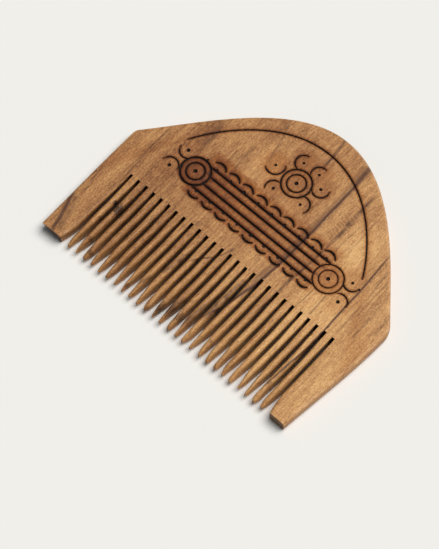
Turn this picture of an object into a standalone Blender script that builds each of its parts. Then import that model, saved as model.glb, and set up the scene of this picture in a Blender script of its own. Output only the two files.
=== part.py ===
"""Wooden comb: one flat hardwood board with a domed back. Between two wide guard teeth it has a row of
thin teeth that round off and taper to points, and a ring and dot ornament is cut into its upper face.
Metres, +Z up. The comb lies on its back face, its teeth point to -Y, and the origin is under the
middle of its box."""

import math

import bmesh
import bpy
from mathutils import Vector
from mathutils.geometry import interpolate_bezier

# Board
BOARD_WIDTH = 0.1143
BOARD_THICKNESS = 0.0050
BACK_HEIGHT = 0.0583
LEFT_CORNER_HEIGHT = 0.0132
RIGHT_CORNER_HEIGHT = 0.0147
LEFT_CORNER_CUT = 0.0012
RIGHT_CORNER_CUT = 0.0024
SHOULDER_HANDLE = 0.0221
SHOULDER_ANGLE = math.radians(48.6)
DOME_HANDLE = 0.0237
EDGE_ROUNDING = 0.0012
EDGE_ROUNDING_STEPS = 3
RIM_ANGLE = math.radians(60)
SIDE_STEPS = 8
CORNER_STEPS = 4
DOME_STEPS = 18

# Teeth, which fill the width between the guard teeth
TOOTH_COUNT = 26
SLOT_WIDTH = 0.0010
TOOTH_LENGTH = 0.0338
TOOTH_ROOT_ROUNDING = 0.00018
TOOTH_ROUNDING_LENGTH = 0.0150
TOOTH_SEAT_DEPTH = 0.0012
TIP_TAPER_LENGTH = 0.0100
TIP_THINNING_LENGTH = 0.0170
TIP_HALF_WIDTH = 0.00014
TOOTH_CORNER_STEPS = 2

# Guard teeth
LEFT_GUARD_WIDTH = 0.0108
RIGHT_GUARD_WIDTH = 0.0115
GUARD_SETBACK = 0.0004
LEFT_GUARD_LEAN = 0.0009
RIGHT_GUARD_LEAN = 0.0038
GUARD_EASE_WIDTH = 0.0014
GUARD_EASE_LENGTH = 0.0095
GUARD_EASE_STEPS = 5
GUARD_INNER_ROUNDING = 0.0011
GUARD_ROUNDING_STEPS = 3

# Grooves and drilled dots of the ornament
GROOVE_WIDTH = 0.00050
GROOVE_DEPTH = 0.00048
CURL_GROOVE_DEPTH = 0.00038
DOT_RADIUS = 0.00055
DOT_DEPTH = 0.00070
DOT_SIDES = 8
CHORD_ERROR = 0.00004

# Band: two ringed medallions joined by four lines, with scallops along both sides
BAND_HEIGHT = 0.0150
MEDALLION_INSET = 0.02705
MEDALLION_RADIUS = 0.00535
MEDALLION_INNER_RADIUS = 0.00325
OUTER_LINE_OFFSET = 0.00483
INNER_LINE_OFFSET = 0.00175
SCALLOP_COUNT = 9
SCALLOP_RADIUS = 0.00315
SCALLOP_HALF_SPAN = 51
CURL_RADIUS = 0.00310
UPPER_CURL_REACH = 0.00710
UPPER_CURL_OFFSET = 0.00430
UPPER_CURL_SPAN = (188, 352)
LOWER_CURL_REACH = 0.00805
LOWER_CURL_OFFSET = 0.00415
LOWER_CURL_SPAN = (0, 180)

# Rosette: a ringed dot with six curls round it
ROSETTE_SHIFT = -0.0018
ROSETTE_HEIGHT = 0.0344
ROSETTE_RADIUS = 0.00535
ROSETTE_INNER_RADIUS = 0.00335
SATELLITE_REACH = 0.0082
SATELLITE_RADIUS = 0.00308

# Long arc under the domed edge
LONG_ARC_SHIFT = -0.00125
LONG_ARC_HEIGHT = 0.0502
LONG_ARC_INSET = 0.01755
LONG_ARC_END_HEIGHT = 0.0224
LONG_ARC_END_HANDLE = 0.0125
LONG_ARC_END_ANGLE = math.radians(62)
LONG_ARC_CROWN_HANDLE = 0.0196
LONG_ARC_STEPS = 14

# How far a cutter runs past the surface that it cuts
OVERRUN = 0.0020

# Each satellite: direction from the rosette, share of the reach, share of the radius, arc start and end
SATELLITE_SHARES = (
    (114, 0.99, 1.00, 90, 270),
    (64, 1.02, 1.00, 71, 225),
    (26, 1.04, 1.01, -149, 31),
    (-39, 0.99, 1.08, -35, 130),
    (-125, 0.98, 1.00, 83, 225),
    (177, 1.21, 1.14, -138, 40),
)
# Places of the sections along a tooth, as shares of its length
TOOTH_SECTION_SHARES = (0.12, 0.32, 0.60, 0.78, 0.88, 0.95, 1.0)
MOST_ROUNDING_SHARE = 0.90
EDGE_LIMIT_SHARE = 0.45
FILLET_HANDLE_SHARE = 0.45
SIDE_HANDLE_SHARE = 0.33
SIDE_LEAN_SHARE = 0.36
# Places of the sections along the rounded inner edge of a guard tooth, as shares of its length
GUARD_SECTION_SHARES = (0.02, 0.10, 0.20, 0.30, 0.45, 0.71, 0.80, 0.90, 1.0)
EASE_POWER = 2.0
TIP_WIDTH_POWER = 0.65
TIP_THICKNESS_POWER = 0.60

MOUTH_WIDTH = BOARD_WIDTH - LEFT_GUARD_WIDTH - RIGHT_GUARD_WIDTH
MOUTH_HALF_WIDTH = MOUTH_WIDTH / 2
TOOTH_PITCH = (MOUTH_WIDTH - SLOT_WIDTH) / TOOTH_COUNT
LEFT_HALF_WIDTH = MOUTH_HALF_WIDTH + LEFT_GUARD_WIDTH
RIGHT_HALF_WIDTH = MOUTH_HALF_WIDTH + RIGHT_GUARD_WIDTH
MIDDLE_ACROSS = (RIGHT_HALF_WIDTH - LEFT_HALF_WIDTH) / 2
GUARD_LENGTH = TOOTH_LENGTH - GUARD_SETBACK
LONGEST_TOOTH = max(TOOTH_LENGTH, GUARD_LENGTH)
MIDDLE_HEIGHT = (BACK_HEIGHT - LONGEST_TOOTH) / 2
MEDALLION_REACH = BOARD_WIDTH / 2 - MEDALLION_INSET
LONG_ARC_HALF_WIDTH = BOARD_WIDTH / 2 - LONG_ARC_INSET
WELD_DISTANCE = 0.000002
FLAT_ANGLE = math.radians(1.2)
SHARP_ANGLE = math.radians(32)
WOOD_COLOUR = (0.36, 0.19, 0.085, 1.0)
WOOD_ROUGHNESS = 0.55


def clear_scene():
    for obj in list(bpy.data.objects):
        bpy.data.objects.remove(obj, do_unlink=True)


def new_collection(name):
    collection = bpy.data.collections.new(name)
    bpy.context.scene.collection.children.link(collection)
    return collection


def wood_material():
    material = bpy.data.materials.new("oiled_wood")
    material.use_nodes = True
    shader = material.node_tree.nodes["Principled BSDF"]
    shader.inputs["Base Color"].default_value = WOOD_COLOUR
    shader.inputs["Roughness"].default_value = WOOD_ROUGHNESS
    shader.inputs["Metallic"].default_value = 0.0
    return material


def object_from_mesh(name, mesh, collection, frame):
    obj = bpy.data.objects.new(name, mesh)
    collection.objects.link(obj)
    obj.parent = frame
    return obj


def evaluated_mesh(obj):
    """The mesh of an object with its modifiers or its curve settings carried out."""
    graph = bpy.context.evaluated_depsgraph_get()
    graph.update()
    return bpy.data.meshes.new_from_object(obj.evaluated_get(graph))


def mesh_from_curve(curve_object, collection, frame):
    """Turns a curve object into a mesh object at the same place, with its caps welded."""
    bpy.context.view_layer.update()
    mesh = evaluated_mesh(curve_object)
    bm = bmesh.new()
    bm.from_mesh(mesh)
    bmesh.ops.remove_doubles(bm, verts=bm.verts, dist=WELD_DISTANCE)
    bmesh.ops.recalc_face_normals(bm, faces=bm.faces)
    bm.to_mesh(mesh)
    bm.free()
    name = curve_object.name
    place = curve_object.matrix_world.copy()
    bpy.data.objects.remove(curve_object, do_unlink=True)
    obj = object_from_mesh(name, mesh, collection, frame)
    obj.matrix_world = place
    return obj


def join_flat_faces(obj):
    """Leaves one face for each flat side, so that the rim can be rounded evenly."""
    bm = bmesh.new()
    bm.from_mesh(obj.data)
    bmesh.ops.dissolve_limit(bm, angle_limit=FLAT_ANGLE, verts=bm.verts, edges=bm.edges)
    bm.to_mesh(obj.data)
    bm.free()


def outline_plate(name, points, bottom, top, collection, frame):
    """A flat plate between two heights, with its outline through the points."""
    curve = bpy.data.curves.new(name, "CURVE")
    curve.dimensions = "2D"
    curve.fill_mode = "BOTH"
    curve.extrude = (top - bottom) / 2
    spline = curve.splines.new("POLY")
    spline.points.add(len(points) - 1)
    for spline_point, (x, y) in zip(spline.points, points):
        spline_point.co = (x, y, 0, 1)
    spline.use_cyclic_u = True
    curve_object = object_from_mesh(name, curve, collection, frame)
    curve_object.location = (0, 0, (top + bottom) / 2)
    return mesh_from_curve(curve_object, collection, frame)


def curve_between(start, start_handle, end_handle, end, steps):
    """Points along a curve from its start up to, but without, its end."""
    return interpolate_bezier(start, start_handle, end_handle, end, steps + 1)[:-1]


def half_outline(side, half_width, corner_height, corner_cut, lean):
    """Half of the board's outline, from past a guard tooth's end up to the crown: side is -1 left, 1 right."""
    down = Vector((0, -1))
    shoulder_way = Vector((-side * math.cos(SHOULDER_ANGLE), math.sin(SHOULDER_ANGLE)))
    corner = Vector((side * half_width, corner_height))
    low = corner + down * corner_cut
    high = corner + shoulder_way * corner_cut
    fillet = corner_cut * FILLET_HANDLE_SHARE
    handle = (low.y + GUARD_LENGTH) * SIDE_HANDLE_SHARE
    end = Vector((side * (half_width - lean), -GUARD_LENGTH))
    end_way = Vector((side * lean * SIDE_LEAN_SHARE, handle))
    crown = Vector((0, BACK_HEIGHT))
    crown_handle = crown + Vector((side * DOME_HANDLE, 0))
    points = [end - end_way * (OVERRUN / handle)]
    points += curve_between(end, end + end_way, low + down * handle, low, SIDE_STEPS)
    points += curve_between(low, low - down * fillet, high - shoulder_way * fillet, high, CORNER_STEPS)
    points += curve_between(high, corner + shoulder_way * SHOULDER_HANDLE, crown_handle, crown, DOME_STEPS)
    return points


def board_blank(collection, frame):
    """The board before its teeth are cut: leaning sides, two shoulders and a dome, with a rounded rim."""
    left = half_outline(-1, LEFT_HALF_WIDTH, LEFT_CORNER_HEIGHT, LEFT_CORNER_CUT, LEFT_GUARD_LEAN)
    right = half_outline(1, RIGHT_HALF_WIDTH, RIGHT_CORNER_HEIGHT, RIGHT_CORNER_CUT, RIGHT_GUARD_LEAN)
    points = left + [Vector((0, BACK_HEIGHT))] + right[::-1]
    board = outline_plate("comb", points, 0, BOARD_THICKNESS, collection, frame)
    join_flat_faces(board)
    rounding = board.modifiers.new("rounded_rim", "BEVEL")
    rounding.width = min(EDGE_ROUNDING, BOARD_THICKNESS * EDGE_LIMIT_SHARE)
    rounding.segments = EDGE_ROUNDING_STEPS
    rounding.limit_method = "ANGLE"
    rounding.angle_limit = RIM_ANGLE
    return board


def guard_inner_wall(distance):
    """How far a guard tooth's inner wall is from the middle of the row, at a distance from the root."""
    share = max(0.0, 1 - (GUARD_LENGTH - distance) / GUARD_EASE_LENGTH)
    return MOUTH_HALF_WIDTH + GUARD_EASE_WIDTH * share**EASE_POWER


def mouth_cutter(collection, frame):
    """What is taken out between the guard teeth and past their ends."""
    wide = max(LEFT_HALF_WIDTH, RIGHT_HALF_WIDTH) + OVERRUN
    low_height = -LONGEST_TOOTH - OVERRUN - OVERRUN
    step = GUARD_EASE_LENGTH / GUARD_EASE_STEPS
    distances = [GUARD_LENGTH - step * index for index in range(GUARD_EASE_STEPS + 1)] + [0]
    right = [(wide, -GUARD_LENGTH)] + [(guard_inner_wall(distance), -distance) for distance in distances]
    left = [(-x, y) for x, y in reversed(right)]
    points = [(-wide, low_height), (wide, low_height)] + right + left
    return outline_plate("mouth_cutter", points, -OVERRUN, BOARD_THICKNESS + OVERRUN, collection, frame)


def loft(bm, rings):
    """A closed body through rings of points with equally many points each."""
    rings = [[bm.verts.new(place) for place in ring] for ring in rings]
    for near, far in zip(rings, rings[1:]):
        for place in range(len(near)):
            after = (place + 1) % len(near)
            bm.faces.new((near[place], near[after], far[after], far[place]))
    bm.faces.new(rings[0])
    bm.faces.new(rings[-1])


def lofted_object(name, all_rings, collection, frame):
    """One object with a closed body for each list of rings."""
    bm = bmesh.new()
    for rings in all_rings:
        loft(bm, rings)
    bmesh.ops.recalc_face_normals(bm, faces=bm.faces)
    mesh = bpy.data.meshes.new(name)
    bm.to_mesh(mesh)
    bm.free()
    return object_from_mesh(name, mesh, collection, frame)


def smooth_step(share):
    share = min(max(share, 0.0), 1.0)
    return share * share * (3 - 2 * share)


def guard_edge_rings(side, upper):
    """Rings round what is taken off one inner edge of a guard tooth: more towards the tooth's end."""
    rings = []
    distances = [share * GUARD_LENGTH for share in GUARD_SECTION_SHARES]
    for distance in distances + [GUARD_LENGTH + OVERRUN]:
        growth = smooth_step(distance / TOOTH_ROUNDING_LENGTH)
        most = min(GUARD_INNER_ROUNDING, BOARD_THICKNESS * EDGE_LIMIT_SHARE)
        radius = TOOTH_ROOT_ROUNDING + (most - TOOTH_ROOT_ROUNDING) * growth
        wall = guard_inner_wall(distance)
        section = []
        for step in range(GUARD_ROUNDING_STEPS + 1):
            angle = math.radians(90) * step / GUARD_ROUNDING_STEPS
            section.append((wall + radius * (1 - math.cos(angle)), radius * (1 - math.sin(angle))))
        section += [(wall + radius, -OVERRUN), (wall - OVERRUN, -OVERRUN), (wall - OVERRUN, radius)]
        ring = []
        for across, depth in section:
            ring.append((side * across, -distance, BOARD_THICKNESS - depth if upper else depth))
        rings.append(ring)
    return rings


def guard_edge_cutter(collection, frame):
    all_rings = [guard_edge_rings(side, upper) for side in (-1, 1) for upper in (True, False)]
    return lofted_object("guard_edge_cutter", all_rings, collection, frame)


def tooth_half_sizes(distance):
    """Half width, half thickness and corner rounding of a tooth at a distance from its root."""
    full_width = (TOOTH_PITCH - SLOT_WIDTH) / 2
    full_thickness = BOARD_THICKNESS / 2
    taper = max(0.0, 1 - (TOOTH_LENGTH - distance) / TIP_TAPER_LENGTH)
    thinning = max(0.0, 1 - (TOOTH_LENGTH - distance) / TIP_THINNING_LENGTH)
    width_share = max(0.0, 1 - taper**2) ** TIP_WIDTH_POWER
    thickness_share = max(0.0, 1 - thinning**2) ** TIP_THICKNESS_POWER
    half_width = TIP_HALF_WIDTH + (full_width - TIP_HALF_WIDTH) * width_share
    half_thickness = TIP_HALF_WIDTH + (full_thickness - TIP_HALF_WIDTH) * thickness_share
    most = min(half_width, half_thickness) * MOST_ROUNDING_SHARE
    least = min(TOOTH_ROOT_ROUNDING, most)
    rounding = least + (most - least) * smooth_step(distance / TOOTH_ROUNDING_LENGTH)
    return half_width, half_thickness, rounding


def rounded_section(half_width, half_thickness, rounding):
    """Points round a rectangle with rounded corners, as pairs across and up."""
    points = []
    for corner, (across, up) in enumerate(((1, 1), (-1, 1), (-1, -1), (1, -1))):
        middle_across = across * (half_width - rounding)
        middle_up = up * (half_thickness - rounding)
        for step in range(TOOTH_CORNER_STEPS + 1):
            angle = math.radians(90) * (corner + step / TOOTH_CORNER_STEPS)
            points.append((middle_across + rounding * math.cos(angle), middle_up + rounding * math.sin(angle)))
    return points


def tooth_rings(centre):
    """Rings along one tooth, from its seat inside the board to its tip."""
    middle_up = BOARD_THICKNESS / 2
    distances = [-TOOTH_SEAT_DEPTH] + [share * TOOTH_LENGTH for share in TOOTH_SECTION_SHARES]
    rings = []
    for distance in distances:
        section = rounded_section(*tooth_half_sizes(distance))
        rings.append([(centre + across, -distance, middle_up + up) for across, up in section])
    return rings


def tooth_row(collection, frame):
    centres = [(index - (TOOTH_COUNT - 1) / 2) * TOOTH_PITCH for index in range(TOOTH_COUNT)]
    return lofted_object("tooth_row", [tooth_rings(centre) for centre in centres], collection, frame)


def arc(x, y, radius, start, end):
    """Places along an arc, spaced so that no chord leaves it by more than the allowed error."""
    step = 2 * math.acos(1 - CHORD_ERROR / radius)
    count = max(2, math.ceil(math.radians(abs(end - start)) / step))
    angles = [math.radians(start + (end - start) * place / count) for place in range(count + 1)]
    return [(x + radius * math.cos(angle), y + radius * math.sin(angle)) for angle in angles]


def ring(x, y, radius):
    return arc(x, y, radius, 0, 360)[:-1]


def groove_cutter(name, open_paths, closed_paths, depth, collection, frame):
    """A cutter that follows paths on the upper face: four sides, widest at the surface."""
    curve = bpy.data.curves.new(name, "CURVE")
    curve.dimensions = "3D"
    curve.fill_mode = "FULL"
    curve.bevel_depth = GROOVE_WIDTH / 2
    curve.bevel_resolution = 0
    curve.use_fill_caps = True
    for path, cyclic in [(path, False) for path in open_paths] + [(path, True) for path in closed_paths]:
        spline = curve.splines.new("POLY")
        spline.points.add(len(path) - 1)
        for point, (x, y) in zip(spline.points, path):
            point.co = (x, y, 0, 1)
        spline.use_cyclic_u = cyclic
    cutter = mesh_from_curve(object_from_mesh(name, curve, collection, frame), collection, frame)
    for vertex in cutter.data.vertices:
        vertex.co.z = BOARD_THICKNESS + vertex.co.z * depth / (GROOVE_WIDTH / 2)
    return cutter


def dot_cutter(name, places, collection, frame):
    """A row of cones, point down, as a drill leaves them."""
    top_share = (DOT_DEPTH + OVERRUN) / DOT_DEPTH
    bm = bmesh.new()
    for x, y in places:
        cone = bmesh.ops.create_cone(
            bm,
            cap_ends=True,
            segments=DOT_SIDES,
            radius1=0,
            radius2=DOT_RADIUS * top_share,
            depth=DOT_DEPTH + OVERRUN,
        )
        middle = BOARD_THICKNESS + (OVERRUN - DOT_DEPTH) / 2
        bmesh.ops.translate(bm, verts=cone["verts"], vec=(x, y, middle))
    bmesh.ops.recalc_face_normals(bm, faces=bm.faces)
    mesh = bpy.data.meshes.new(name)
    bm.to_mesh(mesh)
    bm.free()
    return object_from_mesh(name, mesh, collection, frame)


def scallop_places():
    """Middles of the scallops, which divide the run between the two medallions evenly."""
    first = -MEDALLION_REACH + MEDALLION_RADIUS
    spacing = -2 * first / (SCALLOP_COUNT - 1)
    return [first + spacing * index for index in range(SCALLOP_COUNT)]


def band_lines():
    paths = []
    for offset in (-OUTER_LINE_OFFSET, -INNER_LINE_OFFSET, INNER_LINE_OFFSET, OUTER_LINE_OFFSET):
        reach = MEDALLION_REACH - math.sqrt(max(0.0, MEDALLION_RADIUS**2 - offset**2))
        height = BAND_HEIGHT + offset
        paths.append([(-reach, height), (reach, height)])
    return paths


def band_arcs():
    """The scallops along both sides of the band and the curls past its ends."""
    paths = []
    for x in scallop_places():
        for side in (1, -1):
            height = BAND_HEIGHT + side * OUTER_LINE_OFFSET
            paths.append(
                arc(x, height, SCALLOP_RADIUS, side * 90 - SCALLOP_HALF_SPAN, side * 90 + SCALLOP_HALF_SPAN)
            )
    for x, y, upper in curl_places():
        span = UPPER_CURL_SPAN if upper else LOWER_CURL_SPAN
        paths.append(arc(x, y, CURL_RADIUS, *span))
    return paths


def curl_places():
    """Middle of each curl past the medallions, and whether it is an upper one."""
    places = []
    for side in (-1, 1):
        upper_x = side * (MEDALLION_REACH + UPPER_CURL_REACH)
        lower_x = side * (MEDALLION_REACH + LOWER_CURL_REACH)
        places.append((upper_x, BAND_HEIGHT + UPPER_CURL_OFFSET, True))
        places.append((lower_x, BAND_HEIGHT - LOWER_CURL_OFFSET, False))
    return places


def satellites():
    """Middle, radius and ends of each curl round the rosette."""
    found = []
    for direction, reach_share, radius_share, start, end in SATELLITE_SHARES:
        reach = SATELLITE_REACH * reach_share
        x = ROSETTE_SHIFT + reach * math.cos(math.radians(direction))
        y = ROSETTE_HEIGHT + reach * math.sin(math.radians(direction))
        found.append((x, y, SATELLITE_RADIUS * radius_share, start, end))
    return found


def long_arc():
    """Places along the arc that follows the dome, from its left end over its crown to its right end."""
    crown = Vector((LONG_ARC_SHIFT, LONG_ARC_HEIGHT))
    halves = []
    for side in (-1, 1):
        end = Vector((LONG_ARC_SHIFT + side * LONG_ARC_HALF_WIDTH, LONG_ARC_END_HEIGHT))
        end_way = Vector((-side * math.cos(LONG_ARC_END_ANGLE), math.sin(LONG_ARC_END_ANGLE)))
        end_handle = end + end_way * LONG_ARC_END_HANDLE
        crown_handle = crown + Vector((side * LONG_ARC_CROWN_HANDLE, 0))
        halves.append(curve_between(end, end_handle, crown_handle, crown, LONG_ARC_STEPS))
    return halves[0] + [crown] + halves[1][::-1]


def ornament_cutters(collection, frame):
    """Grooves that cross each other are in different cutters."""
    rings = []
    for x in (-MEDALLION_REACH, MEDALLION_REACH):
        rings += [ring(x, BAND_HEIGHT, MEDALLION_RADIUS), ring(x, BAND_HEIGHT, MEDALLION_INNER_RADIUS)]
    for radius in (ROSETTE_RADIUS, ROSETTE_INNER_RADIUS):
        rings.append(ring(ROSETTE_SHIFT, ROSETTE_HEIGHT, radius))
    satellite_arcs = [arc(*satellite) for satellite in satellites()]
    dots = [(x, BAND_HEIGHT) for x in (-MEDALLION_REACH, MEDALLION_REACH)]
    dots.append((ROSETTE_SHIFT, ROSETTE_HEIGHT))
    dots += [(x, BAND_HEIGHT + side * OUTER_LINE_OFFSET) for x in scallop_places() for side in (1, -1)]
    dots += [(x, y) for x, y, upper in curl_places()]
    dots += [satellite[:2] for satellite in satellites()]
    return [
        groove_cutter("ring_grooves", [], rings, GROOVE_DEPTH, collection, frame),
        groove_cutter("line_grooves", band_lines() + [long_arc()], [], GROOVE_DEPTH, collection, frame),
        groove_cutter("arc_grooves", band_arcs() + satellite_arcs, [], CURL_GROOVE_DEPTH, collection, frame),
        dot_cutter("dots", dots, collection, frame),
    ]


def add_boolean(obj, helper, operation, solver):
    helper.hide_render = True
    helper.display_type = "WIRE"
    boolean = obj.modifiers.new(helper.name, "BOOLEAN")
    boolean.operation = operation
    boolean.solver = solver
    boolean.object = helper


def finish_mesh(obj):
    """Carries out the modifiers and shades the rounded surfaces smooth."""
    bpy.context.view_layer.update()
    mesh = evaluated_mesh(obj)
    obj.modifiers.clear()
    mesh.name = obj.name
    obj.data = mesh
    mesh.shade_smooth()
    mesh.set_sharp_from_angle(angle=SHARP_ANGLE)


def make_comb():
    parts = new_collection("wooden_comb")
    cutters = new_collection("cutters")
    frame = bpy.data.objects.new("comb_frame", None)
    parts.objects.link(frame)
    frame.location = (-MIDDLE_ACROSS, -MIDDLE_HEIGHT, 0)
    bpy.context.view_layer.update()
    comb = board_blank(parts, frame)
    add_boolean(comb, mouth_cutter(cutters, frame), "DIFFERENCE", "EXACT")
    add_boolean(comb, guard_edge_cutter(cutters, frame), "DIFFERENCE", "EXACT")
    add_boolean(comb, tooth_row(cutters, frame), "UNION", "EXACT")
    # The exact solver leaves open edges where this many grooves meet on one flat face
    for cutter in ornament_cutters(cutters, frame):
        add_boolean(comb, cutter, "DIFFERENCE", "MANIFOLD")
    finish_mesh(comb)
    comb.data.materials.clear()
    comb.data.materials.append(wood_material())


clear_scene()
make_comb()
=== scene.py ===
"""Dresses the wooden comb: a carved and oiled board with sawn teeth, lying on a pale floor.

Every length is in tooth pitches, from one tooth's middle to the next, and is turned into metres at the end.
Across is counted from the middle of the row, up from the slots' ends and height from the carved face.
"""

import math
import random
from functools import reduce

import bmesh
import bpy
from mathutils import Matrix, Vector, kdtree
from mathutils.geometry import interpolate_bezier


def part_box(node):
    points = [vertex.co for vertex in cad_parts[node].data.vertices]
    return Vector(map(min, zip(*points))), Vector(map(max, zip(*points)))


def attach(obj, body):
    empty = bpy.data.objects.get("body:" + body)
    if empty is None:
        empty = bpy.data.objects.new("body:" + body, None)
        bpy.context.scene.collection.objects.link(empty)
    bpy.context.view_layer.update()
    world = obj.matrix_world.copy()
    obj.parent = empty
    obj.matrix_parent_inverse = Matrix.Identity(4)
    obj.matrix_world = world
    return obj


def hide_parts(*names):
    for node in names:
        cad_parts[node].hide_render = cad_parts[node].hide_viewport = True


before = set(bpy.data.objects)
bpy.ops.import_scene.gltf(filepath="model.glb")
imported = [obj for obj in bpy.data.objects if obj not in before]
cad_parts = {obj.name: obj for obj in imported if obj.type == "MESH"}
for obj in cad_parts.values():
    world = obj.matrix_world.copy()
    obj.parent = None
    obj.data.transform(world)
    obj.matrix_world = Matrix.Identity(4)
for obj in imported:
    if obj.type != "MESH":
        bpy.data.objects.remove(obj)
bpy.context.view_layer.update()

HALF_PITCH = 0.5
# Keeps a sum that should be whole, or just at its limit, from falling short of it
SLACK = 0.001

# Outline of the board
LEFT_REACH = 16.229
RIGHT_REACH = 16.429
BACK_HEIGHT = 16.657
LEFT_CORNER_HEIGHT = 3.771
RIGHT_CORNER_HEIGHT = 4.200
LEFT_CORNER_CUT = 0.343
RIGHT_CORNER_CUT = 0.686
LEFT_GUARD_LEAN = 0.257
RIGHT_GUARD_LEAN = 1.086
SHOULDER_HANDLE = 6.314
SHOULDER_ANGLE = math.radians(48.6)
DOME_HANDLE = 6.771
RIM_ROUNDING = 0.343
SIDE_LEAN_SHARE = 0.36
HANDLE_SHARE = 0.33
FILLET_SHARE = 0.45
SIDE_STEPS = 20
CORNER_STEPS = 8
DOME_STEPS = 60
RIM_STEPS = 6
# How far a cutter runs past what it cuts
OVERRUN = 0.6

# Guard teeth, slots and teeth
GUARD_LENGTH = 9.543
MOUTH_HALF_WIDTH = 13.143
GUARD_EASE_WIDTH = 0.400
GUARD_EASE_LENGTH = 2.714
GUARD_EDGE_ROUNDING = 0.314
GUARD_SECTIONS = 16
GUARD_WALL_START = 2.0
GUARD_WALL_STEP = 0.5
GUARD_WALL_STEPS = 15
EDGE_START = 0.3
EDGE_CLEARANCE = 0.1
MOUTH_OVERRUN = 2
# How far each end slants along the teeth, and how far its foot is drawn in
LEFT_END_TILT = 0.15
RIGHT_END_TILT = 0.07
LEFT_END_UNDERCUT = 0.54
INNER_END_UNDERCUT = 0.06
UNDERCUT_STEPS = 6
TOOTH_COUNT = 26
TOOTH_LENGTH = 9.657
TOOTH_WIDTH = 0.714
TOOTH_SEAT = 0.34
TOOTH_FACE_DROP = 0.004
ROOT_ROUNDING = 0.051
ROUNDING_LENGTH = 4.286
TIP_HALF_WIDTH = 0.040
TIP_TAPER_LENGTH = 3.4
TAPER_POWER = 0.42
TIP_THINNING_LENGTH = 4.0
ROOT_SLOPE = 0.0070
ROOT_UNEVENNESS = 0.05
SLOT_SEED = 11
TOOTH_SEED = 7
SHORTEST_TOOTH = 0.990
# Each tooth's rings: how many, with how many points, and how much closer they get towards the tip
SECTION_SIDES = 24
SECTION_COUNT = 40
SECTION_CROWDING = 1.5
# How round a tooth's sides and faces are: at its root, and how much more past its rounding
ROUNDING_SPAN = (-0.8, ROUNDING_LENGTH * 0.9)
SIDE_ROUNDING = (0.14, 0.74)
FACE_ROUNDING = (0.07, 0.58)
# The lower edges stay sharper and spread a little
LOWER_SHARPNESS = 0.92
LOWER_SPREAD = 0.09
SPREAD_SPAN = (0.5, 3.0)
# How far the teeth lean at their roots, drift at their tips and wander on their way
ROOT_LEAN = 0.045
ROOT_LEAN_SPAN = (4.0, 1.4)
TIP_DRIFT = 0.03
TIP_WANDER = 0.55
WANDER_SPAN = (5.0, 10.5)
WANDER_SCALES = (1.7, 0.28, 0.0)

# Carved ornament
GROOVE_WIDTH = 0.215
GROOVE_DEPTH = 0.185
LONG_GROOVE_DEPTH = GROOVE_DEPTH * 0.96
CURL_GROOVE_DEPTH = 0.160
GROOVE_UNEVENNESS = 0.85
GROOVE_WAVE_SCALE = 4.0
GROOVE_WAVE_DETAIL = 2.0
# How heavily each kind of groove is cut
BAND_SHARE = 1.06
SCALLOP_SHARE = 1.14
CURL_SHARE = 0.84
LONG_ARC_SHARE = 0.80
GROOVE_SHOULDER = 0.33
SHOULDER_DEPTH = 0.034
SHOULDER_OVERLAP = 1.15
GROOVE_SECTION_POINTS = 19
GROOVE_CORE_SHARE = 0.6
GROOVE_FADE = 0.55
GROOVE_END_SHARE = 0.5
GROOVE_END_BLUNTNESS = 0.02
# How close the places along a path are, and where the extra ones near its ends are
GROOVE_SPACING = 0.085
STRAIGHT_SPACING = 1.3
END_PLACES = (0.14, 0.5)
END_CLEARANCE = 1.6
CUTTER_GAP = GROOVE_SHOULDER * 3
MEDALLIONS = ((-8.70, 4.30), (8.53, 4.28))
MEDALLION_RADII = (1.53, 0.93)
# How heavily the outer and inner ring of each medallion, and of the rosette, are cut
RING_SHARES = ((1.06, 0.90), (0.70, 0.60), (0.88, 0.78))
BAND_LINES = ((5.63, -7.95, 7.75), (4.77, -7.20, 7.05), (3.77, -7.20, 7.05), (2.87, -8.02, 7.82))
SCALLOP_MIDDLES = (-7.18, -5.38, -3.62, -1.82, -0.05, 1.65, 3.45, 5.20, 6.97)
SCALLOP_RADIUS = 0.90
SCALLOP_HALF_SPAN = 51
# The upper and the lower row: its height, the angle that it faces, and how far each scallop runs on
SCALLOP_ROWS = ((5.70, 90, 14), (2.90, 270, 0))
# Curls past the medallions: across, up, radius, first and last angle
END_CURLS = (
    (-10.75, 5.52, 0.89, 180, 350),
    (-11.05, 3.10, 0.91, 4, 180),
    (10.55, 5.50, 0.88, 190, 352),
    (10.80, 3.10, 0.90, 0, 140),
)
ROSETTE = (-0.50, 9.84)
ROSETTE_RADII = (1.53, 0.96)
# Curls round the rosette, in the same order of values
ROSETTE_CURLS = (
    (-1.44, 11.96, 0.87, 90, 270),
    (0.54, 11.99, 0.87, 71, 225),
    (1.70, 10.91, 0.88, -149, 31),
    (1.29, 8.37, 0.95, -35, 130),
    (-1.82, 7.96, 0.87, 83, 225),
    (-3.34, 9.99, 1.00, -138, 40),
)
RING_MIDDLES = (*MEDALLIONS, ROSETTE)
RING_RADII = (MEDALLION_RADII, MEDALLION_RADII, ROSETTE_RADII)
SPARE_DOTS = ((11.45, 5.38), (-8.65, 6.00))
DOT_RADIUS = 0.19
DOT_DEPTH = 0.20
DOT_SIDESTEP = 0.10
DOT_LIFT = 0.003
DOT_SEED = 3
DOT_SEGMENTS = 14
DOT_RINGS = 9
SMALLEST_DOT = 0.85
LARGEST_DOT = 1.1
RING_DOT_SIZE = 1.12
SPARE_DOT_SIZE = 0.7
LONG_ARC_LEFT = Vector((-11.68, 6.28))
LONG_ARC_CROWN = Vector((-0.30, 14.35))
LONG_ARC_RIGHT = Vector((11.02, 6.30))
LONG_ARC_END_ANGLE = math.radians(62)
LONG_ARC_END_HANDLE = 3.57
LONG_ARC_CROWN_HANDLE = 5.60
LONG_ARC_STEPS = 150
# Nearness to a groove is marked on the carved face between these heights, measured at places this far apart
NEARNESS_DEPTH = -0.3
NEARNESS_TOP = -0.0003
NEARNESS_SPACING = 0.04
SHARP_ANGLE = math.radians(38)

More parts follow.
